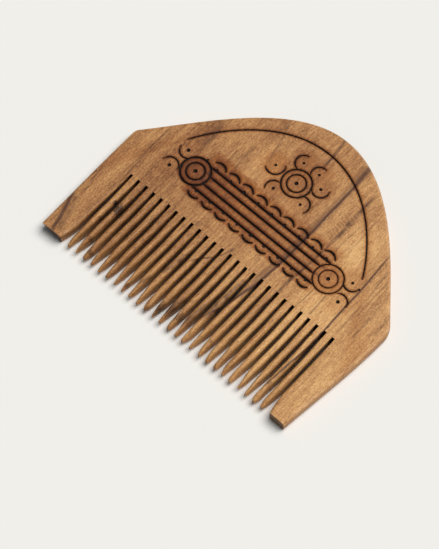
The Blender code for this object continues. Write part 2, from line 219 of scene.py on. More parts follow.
# The camera: where it stands and which way it looks, in tooth pitches
CAMERA_PLACE = Vector((71.97, -71.79, 213.83))
CAMERA_RIGHT = Vector((0.7352, 0.6773, -0.0254))
CAMERA_UP = Vector((-0.6065, 0.6741, 0.4217))
CAMERA_LENS_MM = 108.4
SENSOR_HEIGHT_MM = 24
CAMERA_CLIP = (0.01, 20)

# Floor and light
FLOOR_REACH = 3.0
FLOOR_DROP = 0.00002
LAMP_DIRECTION = Vector((0.23, 0.345, 0.90))
LAMP_STRENGTH = 3.02
LAMP_SPREAD = math.radians(46)
ROOM_COLOUR = (0.86, 1.0, 1.06, 1)
ROOM_STRENGTH = 0.13

low_corner, high_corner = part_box("comb")
PITCH = (high_corner.x - low_corner.x) / (LEFT_REACH + RIGHT_REACH)
ORIGIN = Vector((low_corner.x + LEFT_REACH * PITCH, high_corner.y - BACK_HEIGHT * PITCH, high_corner.z))
THICKNESS = (high_corner.z - low_corner.z) / PITCH


def to_metres(point):
    return Vector(point) * PITCH + ORIGIN


class Signal:
    """A node's output, so that maths on it is written as an expression."""

    def __init__(self, wiring, socket):
        self.wiring = wiring
        self.socket = socket

    def math(self, operation, *values):
        return self.wiring.add("ShaderNodeMath", {"operation": operation}, values)

    def __add__(self, other):
        return self.math("ADD", self, other)

    def __sub__(self, other):
        return self.math("SUBTRACT", self, other)

    def __rsub__(self, other):
        return self.math("SUBTRACT", other, self)

    def __mul__(self, other):
        return self.math("MULTIPLY", self, other)

    def __truediv__(self, other):
        return self.math("DIVIDE", self, other)

    def __pow__(self, other):
        return self.math("POWER", self, other)

    def __abs__(self):
        return self.math("ABSOLUTE", self)

    __radd__ = __add__
    __rmul__ = __mul__

    def floor(self):
        return self.math("FLOOR", self)

    def cosine(self):
        return self.math("COSINE", self)

    def sine(self):
        return self.math("SINE", self)

    def lesser(self, other):
        return self.math("MINIMUM", self, other)

    def greater(self, other):
        return self.math("MAXIMUM", self, other)

    def rise(self, start, end):
        """0 up to start, 1 from end on, with a soft step between. It falls where start is past end."""
        if start > end:
            return 1 - self.rise(end, start)
        return self.wiring.add(
            "ShaderNodeMapRange", {"interpolation_type": "SMOOTHSTEP"}, {0: self, 1: start, 2: end}
        )


class Wiring:
    """Adds nodes to one node tree."""

    def __init__(self, tree):
        self.tree = tree

    def add(self, kind, settings=None, values=(), output=0):
        """A node with its settings, then its sockets' values or links. Gives one of its outputs."""
        node = self.tree.nodes.new(kind)
        for name, setting in (settings or {}).items():
            if name == "curve":
                self.bend_curve(node.mapping, setting)
            elif name == "stops":
                self.place_stops(node.color_ramp, setting)
            else:
                setattr(node, name, setting)
        pairs = values.items() if isinstance(values, dict) else enumerate(values)
        for key, value in pairs:
            if isinstance(value, Signal):
                self.tree.links.new(value.socket, node.inputs[key])
            else:
                node.inputs[key].default_value = value
        return Signal(self, node.outputs[output]) if node.outputs else None

    def bend_curve(self, mapping, places):
        points = mapping.curves[0].points
        while len(points) < len(places):
            points.new(0, 0)
        for point, place in zip(points, places):
            point.location = place
        mapping.update()

    def place_stops(self, ramp, stops):
        while len(ramp.elements) < len(stops):
            ramp.elements.new(1)
        for element, (place, colour) in zip(ramp.elements, stops):
            element.position = place
            element.color = colour

    def vector(self, x, y, z):
        return self.add("ShaderNodeCombineXYZ", None, (x, y, z))

    def chance(self, lowest, highest, seed):
        """A random number for each point."""
        values = {2: lowest, 3: highest, 8: seed}
        return self.add("FunctionNodeRandomValue", {"data_type": "FLOAT"}, values, 1)

    def parts(self, vector):
        """A vector's three numbers, as signals."""
        node = self.add("ShaderNodeSeparateXYZ", None, (vector,)).socket.node
        return [Signal(self, socket) for socket in node.outputs]

    def mix(self, share, first, second):
        return self.add("ShaderNodeMix", {"data_type": "RGBA"}, {0: share, 6: first, 7: second}, 2)

    def tint(self, share, colour, by):
        """The colour multiplied by another one, as far as the share says."""
        settings = {"data_type": "RGBA", "blend_type": "MULTIPLY"}
        return self.add("ShaderNodeMix", settings, {0: share, 6: colour, 7: by}, 2)


def srgb(red, green, blue):
    """A colour as it looks on screen, from 0 to 255, as the linear values that a node takes."""
    linear = []
    for value in (red, green, blue):
        share = value / 255
        linear.append(share / 12.92 if share <= 0.04045 else ((share + 0.055) / 1.055) ** 2.4)
    return (*linear, 1)


# The wood's colours
WOOD_TONES = (
    (0.0, srgb(122, 74, 38)),
    (0.25, srgb(156, 104, 58)),
    (0.5, srgb(182, 129, 78)),
    (0.75, srgb(205, 151, 93)),
    (1.0, srgb(228, 178, 116)),
)
RIPPLE_SHADE = srgb(172, 150, 128)
PORE_SHADE = srgb(110, 84, 66)
# Painted shade between the teeth
SLOT_SHADE_PAINT = srgb(84, 66, 52)
GROWTH_LINE = srgb(88, 52, 32)
KNOT_BROWN = srgb(62, 36, 20)
SCORCHED_TINT = srgb(210, 176, 130)
FRINGE_TINT = srgb(178, 146, 116)
# Near-black painted shade inside the grooves and at the slots' ends
PAINTED_DEEP_SHADE = srgb(20, 12, 8)
ALONG_TEETH_FACE_TINT = srgb(112, 112, 114)
# Paler rim edge: partly wear, partly a painted sheen
WEAR_AND_SHEEN_EDGE = srgb(226, 186, 150)
FLOOR_COLOUR = srgb(242, 238.6, 233)

# The wood's noises, drawn out along the fibres: scale, stretch, detail, seed and roughness
GRAIN = {
    "broad": (0.20, 0.45, 3.0, 1.0, 0.5),
    "bands": (0.9, 0.05, 3.0, 2.0, 0.5),
    "fibres": (4.5, 0.06, 4.0, 3.0, 0.65),
    "fine": (12.0, 0.12, 2.0, 4.0, 0.7),
    "speckle": (9.0, 0.8, 1.0, 5.0, 0.5),
    "mottle": (2.0, 0.6, 3.0, 8.0, 0.6),
    "pores": (9.0, 0.10, 1.0, 6.0, 0.5),
    "wander": (0.8, 0.5, 2.0, 7.0, 0.5),
}
SEED_SHIFTS = (7.3, 3.1, 5.7)
# How strongly each noise shows in the tone, which is 0 at its darkest and 1 at its palest
TONE_WEIGHTS = {"broad": 0.62, "bands": 0.55, "fibres": 0.80, "fine": 0.9, "speckle": 0.95, "mottle": 0.28}
# The wood pales to the right: partly its own tone, partly a painted sheen of the light
LEFT_TONE = 0.33
TONE_AND_SHEEN_RISE = 0.31
TONE_AND_SHEEN_SPAN = (-17, 15)
WANDER_WIDTH = 0.35
WANDER_SHARE = 0.5
SPECKLE_SHIFT = 0.12

# Below, a pair is where a share starts to rise from 0 and where it is full
PORE_LIMITS = (0.68, 0.74)
PORE_STRENGTH = 0.6
# The rippled figure: its middle, how far it fades out, and its waves up, across and with the mottling
RIPPLE_MIDDLE = (5.9, 9.2)
RIPPLE_SIDES = (1.1, 0.4)
RIPPLE_ENDS = (2.2, 1.0)
RIPPLE_WAVES = (17, 6, 14)
RIPPLE_STRENGTH = 0.45
# Growth lines: reach and core in half widths, the fading of both ends, and where the mottling breaks them
LINE_MARGIN = 0.1
LINE_REACH = 1.7
LINE_CORE = 0.35
LINE_START = (-0.02, 0.12)
LINE_END = (1.02, 0.86)
LINE_GAPS = (0.62, 0.38)
KNOT_SQUASH = 0.8
KNOT_RAGGEDNESS = 1.6
KNOT_CORE = 0.25
PATCH_EDGE = (1.0, 0.2)

# The scorched ground of the band, which pales to the right
CARVED_SIDE = (-0.5, -0.25)
BAND_OFF_MIDDLE = 0.2
BAND_TOP = 7
GROUND_SIDES = (8.9, 7.9)
GROUND_FOOT = (1.75, 2.05)
GROUND_TOP = (7.60, 6.90)
GROUND_RAGGEDNESS = 1.2
GROUND_SCORCH = 1.02
GROUND_PALING = 0.35
GROUND_PALING_SPAN = (-8, 6)
# Past the medallions it is fainter
BAND_END_SIDES = (12.6, 11.0)
BAND_END_FOOT = (2.3, 3.4)
BAND_END_TOP = (7.0, 5.8)
CURL_SCORCH = 0.42
# Halos round the medallions, curls and rosette, and over the long arc
MEDALLION_HALO = (1.95, 1.45)
MEDALLION_SCORCH = (1.2, 0.80)
HALO_LIFT = 0.1
HALO_OUTSIDE = 1.15
HALO_INSIDE = 0.2
ROSETTE_SCORCH = 0.40
ROSETTE_DARKENING = 0.38
ROSETTE_SPAN = (5, 14)
ARC_CURVE_PLACES = 16
ARC_SPAN = 15
ARC_STEEPNESS = 0.8
ARC_HALO_TOP = (0.75, 0.1)
ARC_HALO_FOOT = (-0.4, 0)
ARC_SCORCH = 0.45
# Darker fringes: on the left medallion, a blotch beside it, painted shade over the band's lines, and along each
# groove a fringe that is partly scorch and partly painted shade
LEFT_MEDALLION_SPAN = (1.8, 1.3)
LEFT_MEDALLION_FRINGE = 0.36
BLOTCH_MIDDLE = (-5.6, 4.2)
BLOTCH_SIDES = (3.4, 0.8)
BLOTCH_ENDS = (3.0, 2.0)
BLOTCH_LIMITS = (0.42, 0.62)
BLOTCH_STRENGTH = 0.45
UPPER_SHADE_TOP = (0.50, 0.10)
UPPER_SHADE_FOOT = (-0.05, 0.05)
UPPER_SHADE_SIDES = (8.0, 7.5)
BAND_UPPER_SHADE = 0.75
# Along each groove: a darker fringe, partly scorch and partly painted shade, then near-black painted shade
# inside the groove
GROOVE_SCORCH_AND_SHADE = 0.7
CUT_EDGE = (0.05, 0.2)
CUT_DEPTHS = (-0.033, -0.12)
GROOVE_SHADE_STRENGTH = 0.97
CLEAR_OF_GROOVES = (0, 0.1)
# Painted shade between the teeth, and near-black painted shade at the slots' ends
SLOTS_SIDES = (13.6, 13.3)
SLOTS_TOP = (0.5, 0.2)
SLOT_SHADE_TOP = (-0.04, -0.45)
SLOT_SHADE_FOOT = (-1.5, -1.2)
SLOT_SHADE_SPAN = (-9.6, -4.2)
SLOT_SHADE_STRENGTH = 0.9
# Near-black painted shade on the slots' walls at their ends
SLOT_END_SHADE_DEPTHS = (-0.008, -0.06)
SLOT_END_SHADE_SPAN = (-0.80, -0.25)
SLOT_END_SHADE_STRENGTH = 0.85
# The rim: its paler upper edge, partly wear and partly painted sheen, its shaded side, and the faces along the
# teeth, by which way each place faces
RIM_SIDES = (13.2, 13.5)
RIM_FOOT = (1.0, 1.5)
WEAR_SHEEN_OUTSIDE = (0.40, 0.62)
WEAR_SHEEN_INSIDE = (0.95, 0.86)
WEAR_SHEEN_DEPTHS = (-0.5, -0.3)
WEAR_SHEEN_LIMITS = (0.35, 0.65)
WEAR_SHEEN_STRENGTH = 0.40
SIDE_FACING = (0.35, 0.10)
SIDE_DEPTHS = (-0.2, -0.4)
SIDE_STRENGTH = 0.4
END_FACING = (0.55, 0.98)
END_STRENGTH = 0.8
# Relief and gloss
FIBRE_RELIEF = 0.5
FINE_RELIEF = 0.35
SPECKLE_RELIEF = 0.4
PORE_RELIEF = 0.5
BUMP_STRENGTH = 0.55
BUMP_METRES = 0.00006
WOOD_ROUGHNESS = 0.50
MOTTLE_ROUGHNESS = 0.2
GROOVE_ROUGHNESS = 0.35
FIBRE_ROUGHNESS = 0.15
WOOD_GLOSS = 0.30

# Dark growth lines: places as (up, across), half width, strength, how broken it is
GROWTH_LINES = (
    (((16.6, 3.70), (14.5, 3.80), (13, 3.95), (10, 4.00), (7, 4.08), (4, 4.10), (2, 4.02), (0, 3.88),
      (-2, 3.55), (-4, 3.15), (-6, 2.50), (-8.5, 1.50)), 0.15, 1.0, 0.05),
    (((16.9, 3.60), (14.6, 3.66), (12, 3.85), (8, 3.88), (4, 3.92), (1, 3.70), (-2, 3.30)), 0.34, 0.50, 0.2),
    (((17.4, 3.74), (15.5, 3.76), (13.4, 3.88)), 0.28, 0.95, 0.15),
    (((0.9, 3.80), (-0.6, 3.68), (-2, 3.42), (-4, 2.95), (-5.5, 2.60), (-7.0, 2.20)), 0.30, 0.50, 0.45),
    (((-3.6, 2.05), (-5, 1.85), (-6.5, 1.66), (-8.6, 1.42)), 0.20, 0.65, 0.45),
    (((-5.9, 0.20), (-7, -0.22), (-8.3, -0.75), (-9.9, -1.40)), 0.36, 0.75, 0.50),
    (((0.9, -0.2), (-0.6, -0.7), (-1.6, -1.35), (-2.4, -2.1), (-3.2, -2.5)), 0.11, 0.95, 0.45),
    (((-2.2, -3.2), (-3.6, -3.3), (-4.8, -3.45), (-5.9, -3.6)), 0.17, 0.75, 0.75),
    (((-6.6, -4.3), (-7.4, -4.4), (-8.2, -4.6)), 0.12, 0.60, 0.5),
    (((10.8, 11.25), (8, 11.45), (5, 11.64), (2, 11.70), (-1, 11.80), (-5, 11.60), (-8.5, 11.3)),
     0.095, 1.0, 0.12),
    (((14.8, 6.30), (12, 6.12), (9.5, 6.24), (6, 6.22), (3, 6.02), (1.6, 5.90), (0, 5.92), (-4, 5.50)),
     0.15, 0.85, 0.65),
    (((11.8, 6.25), (10.6, 6.15), (9.2, 6.10)), 0.22, 0.75, 0.9),
    (((10.6, 6.40), (8.5, 6.40), (7.0, 6.34)), 0.055, 0.8, 0.3),
    (((2.4, 5.92), (1.2, 5.86), (0, 5.92), (-0.8, 5.86)), 0.12, 1.0, 0.6),
    (((8.8, 12.35), (7.5, 12.40), (6.2, 12.60)), 0.10, 0.55, 0.3),
    (((8.2, 12.95), (6.0, 13.05), (3.0, 13.10)), 0.07, 0.45, 0.4),
    (((3.2, 4.02), (1.4, 3.50), (-0.6, 3.40)), 0.10, 0.60, 0.2),
    (((3.0, 9.55), (1.4, 9.60), (0.1, 9.66)), 0.09, 0.50, 0.2),
    (((10.6, 7.20), (8.5, 7.10), (6.8, 7.05)), 0.06, 0.5, 0.5),
    (((12.4, 7.95), (10, 8.05), (7, 8.20)), 0.10, 0.30, 0.5),
    (((3.2, 8.20), (1.5, 8.22), (-0.2, 8.05)), 0.07, 0.45, 0.4),
    (((16.9, -0.15), (15.6, 0.05), (14.2, 0.22), (12.6, 0.28)), 0.14, 0.85, 0.4),
    (((15.2, -5.7), (14.2, -5.45), (13.2, -5.2)), 0.18, 0.35, 0.4),
    (((13.2, -4.9), (11.5, -4.4), (9.5, -3.9)), 0.16, 0.22, 0.5),
    (((7.0, -13.7), (4, -13.75), (1, -13.5), (-2, -13.3)), 0.08, 0.62, 0.4),
    (((10.2, -6.10), (8.6, -6.20), (6.9, -5.95)), 0.13, 0.55, 0.5),
    (((8.8, -7.30), (7.8, -7.10), (6.9, -7.00)), 0.08, 0.50, 0.3),
    (((15.0, -5.75), (13, -4.95), (11, -4.40), (9.4, -4.10)), 0.11, 0.55, 0.5),
    (((9.9, -10.25), (8.6, -10.05), (7.2, -9.95)), 0.22, 0.60, 0.5),
    (((4.6, -12.2), (2.0, -12.05), (-0.4, -11.9)), 0.06, 0.45, 0.4),
    (((8.4, -8.6), (7.8, -8.5), (7.1, -8.45)), 0.07, 0.40, 0.4),
    (((10.4, -10.4), (8.4, -10.3), (6.6, -10.1)), 0.34, 0.32, 0.4),
    (((-0.4, -15.9), (-2, -15.65), (-3.6, -15.4), (-5.0, -15.1)), 0.10, 0.50, 0.5),
    (((-4.8, -16.2), (-6.4, -15.60), (-7.4, -15.25), (-8.6, -14.88), (-9.9, -14.60)), 0.20, 1.0, 0.10),
    (((-5.0, -15.9), (-6.4, -15.35), (-7.6, -14.95), (-9.4, -14.4)), 0.62, 0.62, 0.75),
    (((8.6, 12.35), (6, 12.60), (3, 12.75), (0, 12.80)), 0.07, 0.50, 0.6),
    (((6.8, 13.40), (4, 13.60), (1, 13.80)), 0.06, 0.35, 0.5),
    (((5.8, 14.10), (3.4, 14.20), (0.5, 14.30)), 0.13, 0.50, 0.7),
    (((5.9, 15.30), (4.4, 15.50), (2.6, 15.60)), 0.16, 0.60, 0.7),
    (((7.2, 1.15), (4.5, 1.60), (2.0, 2.05), (0.4, 2.35)), 0.16, 0.28, 0.4),
    (((-5.4, 1.75), (-6.6, 1.60), (-8.4, 1.50)), 0.14, 0.80, 0.5),
    (((-0.6, 3.05), (-2, 2.85), (-3.6, 2.62), (-5, 2.55), (-6.8, 2.45)), 0.32, 0.85, 0.60),
)
# Small knots and dark flecks: across, up, radius, strength
KNOTS = (
    (-11.50, -3.70, 0.60, 0.85),
    (-12.10, -3.30, 0.40, 0.9),
    (-11.35, -3.40, 0.34, 0.70),
    (-11.30, -4.05, 0.30, 0.70),
    (-11.95, -4.55, 0.34, 0.60),
    (-11.30, -7.70, 0.26, 0.55),
    (-12.20, -5.50, 0.22, 0.45),
    (-10.35, -8.70, 0.34, 0.65),
    (-5.35, -8.90, 0.30, 0.60),
    (-2.30, -9.40, 0.40, 0.55),
    (-1.40, -8.60, 0.80, 0.75),
    (-0.45, -8.20, 0.75, 0.42),
    (0.60, -8.00, 0.60, 0.55),
    (-8.30, -2.30, 0.55, 0.25),
    (-7.50, -2.10, 0.35, 0.35),
    (-5.40, -0.90, 0.35, 0.35),
    (-4.60, 0.25, 0.40, 0.30),
    (4.60, -1.70, 0.30, 0.25),
    (11.50, -7.30, 0.24, 0.45),
    (4.60, -7.90, 0.24, 0.40),
    (-15.90, -2.20, 0.22, 0.60),
    (-15.95, -3.90, 0.20, 0.50),
)
# Paler and browner patches: across, up, reach across, reach up, how much paler
PATCHES = (
    (8.6, 8.6, 2.6, 4.2, 0.30),
    (-3.9, 10.6, 1.8, 3.4, 0.14),
    (0.6, 7.9, 1.5, 1.4, 0.16),
    (10.6, 2.0, 4.5, 4.0, 0.12),
    (-10.6, 8.0, 1.6, 3.4, -0.20),
    (3.4, 15.0, 1.0, 2.2, -0.22),
    (-3.4, 12.9, 5.5, 3.6, -0.09),
    (-15.0, -2.0, 2.6, 8.0, 0.09),
    (6.5, -4.0, 0.9, 6.0, 0.36),
    (9.0, -4.5, 1.5, 6.0, 0.22),
    (5.5, -7.6, 0.9, 2.8, 0.25),
    (-12.3, -2.6, 1.3, 4.5, 0.22),
    (-0.4, -3.0, 0.8, 5.0, 0.14),
)


def bezier(start, start_handle, end_handle, end, steps):
    """Points along a curve from its start up to, but without, its end."""
    return interpolate_bezier(start, start_handle, end_handle, end, steps + 1)[:-1]


def half_outline(side, reach, corner_height, corner_cut, lean):
    """Half of the outline, from past a guard tooth's end up to the crown: side is -1 left, 1 right."""
    down = Vector((0, -1))
    shoulder_way = Vector((-side * math.cos(SHOULDER_ANGLE), math.sin(SHOULDER_ANGLE)))
    corner = Vector((side * reach, corner_height))
    low = corner + down * corner_cut
    high = corner + shoulder_way * corner_cut
    fillet = corner_cut * FILLET_SHARE
    handle = (low.y + GUARD_LENGTH) * HANDLE_SHARE
    end = Vector((side * (reach - lean), -GUARD_LENGTH))
    end_way = Vector((side * lean * SIDE_LEAN_SHARE, handle))
    crown = Vector((0, BACK_HEIGHT))
    crown_handle = crown + Vector((side * DOME_HANDLE, 0))
    points = [end - end_way * (OVERRUN / handle)]
    points += bezier(end, end + end_way, low + down * handle, low, SIDE_STEPS)
    points += bezier(low, low - down * fillet, high - shoulder_way * fillet, high, CORNER_STEPS)
    points += bezier(high, corner + shoulder_way * SHOULDER_HANDLE, crown_handle, crown, DOME_STEPS)
    return points


def board_outline():
    left = half_outline(-1, LEFT_REACH, LEFT_CORNER_HEIGHT, LEFT_CORNER_CUT, LEFT_GUARD_LEAN)
    right = half_outline(1, RIGHT_REACH, RIGHT_CORNER_HEIGHT, RIGHT_CORNER_CUT, RIGHT_GUARD_LEAN)
    return left + [Vector((0, BACK_HEIGHT))] + right[::-1]


def inward_normals(points):
    """At each point of an outline that runs clockwise, the direction into the board."""
    normals = []
    for index in range(len(points)):
        before = points[max(index - 1, 0)]
        after = points[min(index + 1, len(points) - 1)]
        way = (after - before).normalized()
        normals.append(Vector((way.y, -way.x)))
    return normals


def rounding(radius):
    """The section of a rounded edge, from the face to the side: pairs of inset and depth."""
    angles = [math.radians(90) * step / RIM_STEPS for step in range(RIM_STEPS + 1)]
    return [(radius * (1 - math.sin(angle)), radius * (1 - math.cos(angle))) for angle in angles]


def loft(bm, rings):
    """A closed body through rings of points with equally many points each."""
    rings = [[bm.verts.new(place) for place in ring] for ring in rings]
    for near, far in zip(rings, rings[1:]):
        for place in range(len(near)):
            after = (place + 1) % len(near)
            bm.faces.new((near[place], near[after], far[after], far[place]))
    bm.faces.new(rings[0])
    bm.faces.new(rings[-1])


def in_scene(name, data):
    """A new object with this data, in the scene."""
    piece = bpy.data.objects.new(name, data)
    bpy.context.scene.collection.objects.link(piece)
    return piece


def mesh_object(name, bm):
    """The finished bmesh as an object, with its faces turned outwards."""
    bmesh.ops.recalc_face_normals(bm, faces=bm.faces)
    mesh = bpy.data.meshes.new(name)
    bm.to_mesh(mesh)
    bm.free()
    return in_scene(name, mesh)


def board_blank():
    """The board before it is sawn: rings of its outline, drawn in where the rim is rounded."""
    outline = board_outline()
    normals = inward_normals(outline)
    profile = rounding(RIM_ROUNDING)
    profile += [(inset, THICKNESS - depth) for inset, depth in reversed(profile)]
    bm = bmesh.new()
    loft(bm, [[(*(point + normal * inset), -depth) for point, normal in zip(outline, normals)]
              for inset, depth in profile])
    return mesh_object("comb_board", bm)


def guard_inner_wall(distance):
    """How far a guard tooth's inner wall is from the middle of the row, at a distance from the root."""
    share = max(0.0, 1 - (GUARD_LENGTH - distance) / GUARD_EASE_LENGTH)
    return MOUTH_HALF_WIDTH + GUARD_EASE_WIDTH * share**2


def slot_ends(chance):
    """How high each slot ends: on a line that leans a little, and never quite alike."""
    heights = []
    for index in range(TOOTH_COUNT + 1):
        across = index - TOOTH_COUNT / 2
        heights.append((across, across * ROOT_SLOPE + chance.uniform(-1, 1) * ROOT_UNEVENNESS))
    return heights


def mouth_cutter(chance):
    """What the saw takes out between the guard teeth, with a step for each slot, and past their ends."""
    distances = [GUARD_WALL_START + GUARD_WALL_STEP * step for step in range(GUARD_WALL_STEPS)]
    right = [(guard_inner_wall(distance), -distance) for distance in (*distances, GUARD_LENGTH)]
    left = [(-across, up) for across, up in reversed(right)]
    root = []
    for across, height in slot_ends(chance):
        root.append((max(across - HALF_PITCH, -MOUTH_HALF_WIDTH), height))
        root.append((min(across + HALF_PITCH, MOUTH_HALF_WIDTH), height))
    wide = max(LEFT_REACH, RIGHT_REACH) + OVERRUN
    low = -TOOTH_LENGTH - MOUTH_OVERRUN
    right_end = (wide, -GUARD_LENGTH - RIGHT_END_TILT)
    left_end = (-wide, -GUARD_LENGTH - LEFT_END_TILT)
    points = left + root + right + [right_end, (wide, low), (-wide, low), left_end]
    undercuts = {left_end: LEFT_END_UNDERCUT, left[0]: INNER_END_UNDERCUT}
    levels = [-THICKNESS * step / UNDERCUT_STEPS for step in range(UNDERCUT_STEPS + 1)]
    bm = bmesh.new()
    loft(bm, [[(x, y - undercuts.get((x, y), 0) * height / THICKNESS, height) for x, y in points]
              for height in (1, *levels, -THICKNESS - 1)])
    return mesh_object("saw_mouth", bm)


def guard_edge_sections(side, upper):
    """Sections of what comes off one inner edge of a guard tooth, from its root to past its end."""
    sections = []
    for section in range(GUARD_SECTIONS + 1):
        distance = EDGE_START + (GUARD_LENGTH + OVERRUN - EDGE_START) * section / GUARD_SECTIONS
        share = min(distance / ROUNDING_LENGTH, 1)
        growth = share * share * (3 - 2 * share)
        radius = ROOT_ROUNDING + (GUARD_EDGE_ROUNDING - ROOT_ROUNDING) * growth
        wall = guard_inner_wall(distance)
        inside = wall - EDGE_CLEARANCE
        profile = [(wall + depth, inset) for inset, depth in rounding(radius)]
        profile += [(wall + radius, -OVERRUN), (inside, -OVERRUN), (inside, radius)]
        sections.append([(side * across, -distance, -depth if upper else depth - THICKNESS)
                         for across, depth in profile])
    return sections


def guard_edge_cutter():
    """What is rubbed off both inner edges of each guard tooth, more towards its end."""
    bm = bmesh.new()
    for side in (-1, 1):
        for upper in (True, False):
            loft(bm, guard_edge_sections(side, upper))
    return mesh_object("guard_edges", bm)


def geometry_tree(name, inputs):
    """An empty geometry tree with its inputs. Gives the tree, its wiring and its inputs' signals."""
    tree = bpy.data.node_groups.new(name, "GeometryNodeTree")
    tree.interface.new_socket("Geometry", in_out="OUTPUT", socket_type="NodeSocketGeometry")
    for label, kind in (("Geometry", "Geometry"), *inputs, ("Wood", "Material")):
        tree.interface.new_socket(label, in_out="INPUT", socket_type="NodeSocket" + kind)
    wiring = Wiring(tree)
    source = wiring.add("NodeGroupInput").socket.node
    signals = {socket.name: Signal(wiring, socket) for socket in source.outputs if socket.name}
    return tree, wiring, signals


def close_tree(wiring, geometry, material):
    """Ends a geometry tree in real meshes with a material."""
    real = wiring.add("GeometryNodeRealizeInstances", None, (geometry,))
    painted = wiring.add("GeometryNodeSetMaterial", None, {0: real, 2: material})
    wiring.add("NodeGroupOutput", None, (painted,))


def run_tree(piece, tree, values):
    """Puts the tree on a piece, sets its inputs by their identifiers, and gives the plain mesh."""
    modifier = piece.modifiers.new(tree.name, "NODES")
    modifier.node_group = tree
    for socket in tree.interface.items_tree:
        if socket.in_out == "INPUT" and socket.name in values:
            modifier[socket.identifier] = values[socket.name]
    return bake_modifiers(piece)


def bake_modifiers(piece):
    """Turns a mesh's modifiers into its plain mesh. A curve with modifiers gives way to a mesh."""
    bpy.context.view_layer.update()
    shaped = piece.evaluated_get(bpy.context.evaluated_depsgraph_get())
    mesh = bpy.data.meshes.new_from_object(shaped)
    if piece.type == "MESH":
        piece.modifiers.clear()
        piece.data = mesh
        return piece
    solid = in_scene(piece.name + "_solid", mesh)
    bpy.data.objects.remove(piece)
    return solid


def tooth_tree():
    """A row of teeth. Each is a cylinder whose rings become rounded rectangles that taper to the tip."""
    sizes = ("Tooth Width", "Tooth Length", "Board Thickness", "Root Lean", "Drift", "Wander")
    inputs = [("Tooth Count", "Int"), *((size, "Float") for size in sizes), ("Seed", "Int")]
    tree, wiring, given = geometry_tree("sawn_teeth", inputs)
    length = given["Tooth Length"]
    rod = wiring.add("GeometryNodeMeshCylinder", None, {0: SECTION_SIDES, 1: SECTION_COUNT - 1, 3: 1.0, 4: 1.0})
    index = wiring.add("GeometryNodeInputIndex")
    ring = (index / SECTION_SIDES + SLACK).floor()
    place = index - ring * SECTION_SIDES
    corner_points = SECTION_SIDES // 4
    corner = (place / corner_points + SLACK).floor()
    turn = (place - corner * corner_points) / (corner_points - 1)
    angle = (corner + turn) * math.radians(90)
    corner_angle = (corner + 0.5) * math.radians(90)
    along = 1 - (1 - ring / (SECTION_COUNT - 1)) ** SECTION_CROWDING
    distance = along * (length + TOOTH_SEAT) - TOOTH_SEAT
    taper = ((length - distance) / TIP_TAPER_LENGTH).greater(0).lesser(1) ** TAPER_POWER
    thinning = (1 - (length - distance) / TIP_THINNING_LENGTH).greater(0)
    full_width = given["Tooth Width"] / 2
    full_thickness = given["Board Thickness"] / 2 - TOOTH_FACE_DROP
    half_width = TIP_HALF_WIDTH + (full_width - TIP_HALF_WIDTH) * taper
    more_thickness = (full_thickness - TIP_HALF_WIDTH) * (1 - thinning * thinning).greater(0) ** 0.5
    half_thickness = TIP_HALF_WIDTH + more_thickness
    lower = corner.math("LESS_THAN", corner, 1.5)
    growth = distance.rise(*ROUNDING_SPAN) * (1 - lower * LOWER_SHARPNESS)
    side_rounding = half_width * (SIDE_ROUNDING[0] + SIDE_ROUNDING[1] * growth)
    face_rounding = half_thickness * (FACE_ROUNDING[0] + FACE_ROUNDING[1] * growth)
    across = corner_angle.cosine() * math.sqrt(2) * (half_width - side_rounding)
    across = across + angle.cosine() * side_rounding
    across = across * (1 + lower * LOWER_SPREAD * distance.rise(*SPREAD_SPAN))
    up = corner_angle.sine() * math.sqrt(2) * (half_thickness - face_rounding)
    up = up + angle.sine() * face_rounding
    middle = given["Board Thickness"] * -0.5
    place = wiring.vector(across, distance * -1, middle - up)
    shaped = wiring.add("GeometryNodeSetPosition", None, {0: rod, 2: place})
    first = (given["Tooth Count"] - 1) * -0.5
    row = wiring.add("GeometryNodeMeshLine", {"mode": "OFFSET"},
                     {0: given["Tooth Count"], 2: wiring.vector(first, 0, 0), 3: (1, 0, 0)})
    short = wiring.chance(SHORTEST_TOOTH, 1.0, given["Seed"])
    teeth = wiring.add("GeometryNodeInstanceOnPoints", None, {0: row, 2: shaped, 6: wiring.vector(1, short, 1)})
    real = wiring.add("GeometryNodeRealizeInstances", None, (teeth,))
    here = wiring.add("GeometryNodeInputPosition")
    apart = wiring.add("ShaderNodeVectorMath", {"operation": "MULTIPLY"}, (here, WANDER_SCALES))
    wave = wiring.add("ShaderNodeTexNoise", None, {0: apart, 2: 1.0, 3: 1.0})
    down = wiring.add("ShaderNodeSeparateXYZ", None, (here,), 1) * -1
    wander = ((wave - 0.5) * given["Wander"] - given["Drift"]) * down.rise(*WANDER_SPAN)
    wander = wander - given["Root Lean"] * down.rise(*ROOT_LEAN_SPAN)
    bent = wiring.add("GeometryNodeSetPosition", None, {0: real, 3: wiring.vector(wander, 0, 0)})
    close_tree(wiring, bent, given["Wood"])
    return tree


def tooth_row(wood):
    return run_tree(mesh_object("sawn_teeth", bmesh.new()), tooth_tree(), {
        "Tooth Count": TOOTH_COUNT,
        "Tooth Width": TOOTH_WIDTH,
        "Tooth Length": TOOTH_LENGTH,
        "Board Thickness": THICKNESS,
        "Root Lean": ROOT_LEAN,
        "Drift": TIP_DRIFT,
        "Wander": TIP_WANDER,
        "Seed": TOOTH_SEED,
        "Wood": wood,
    })


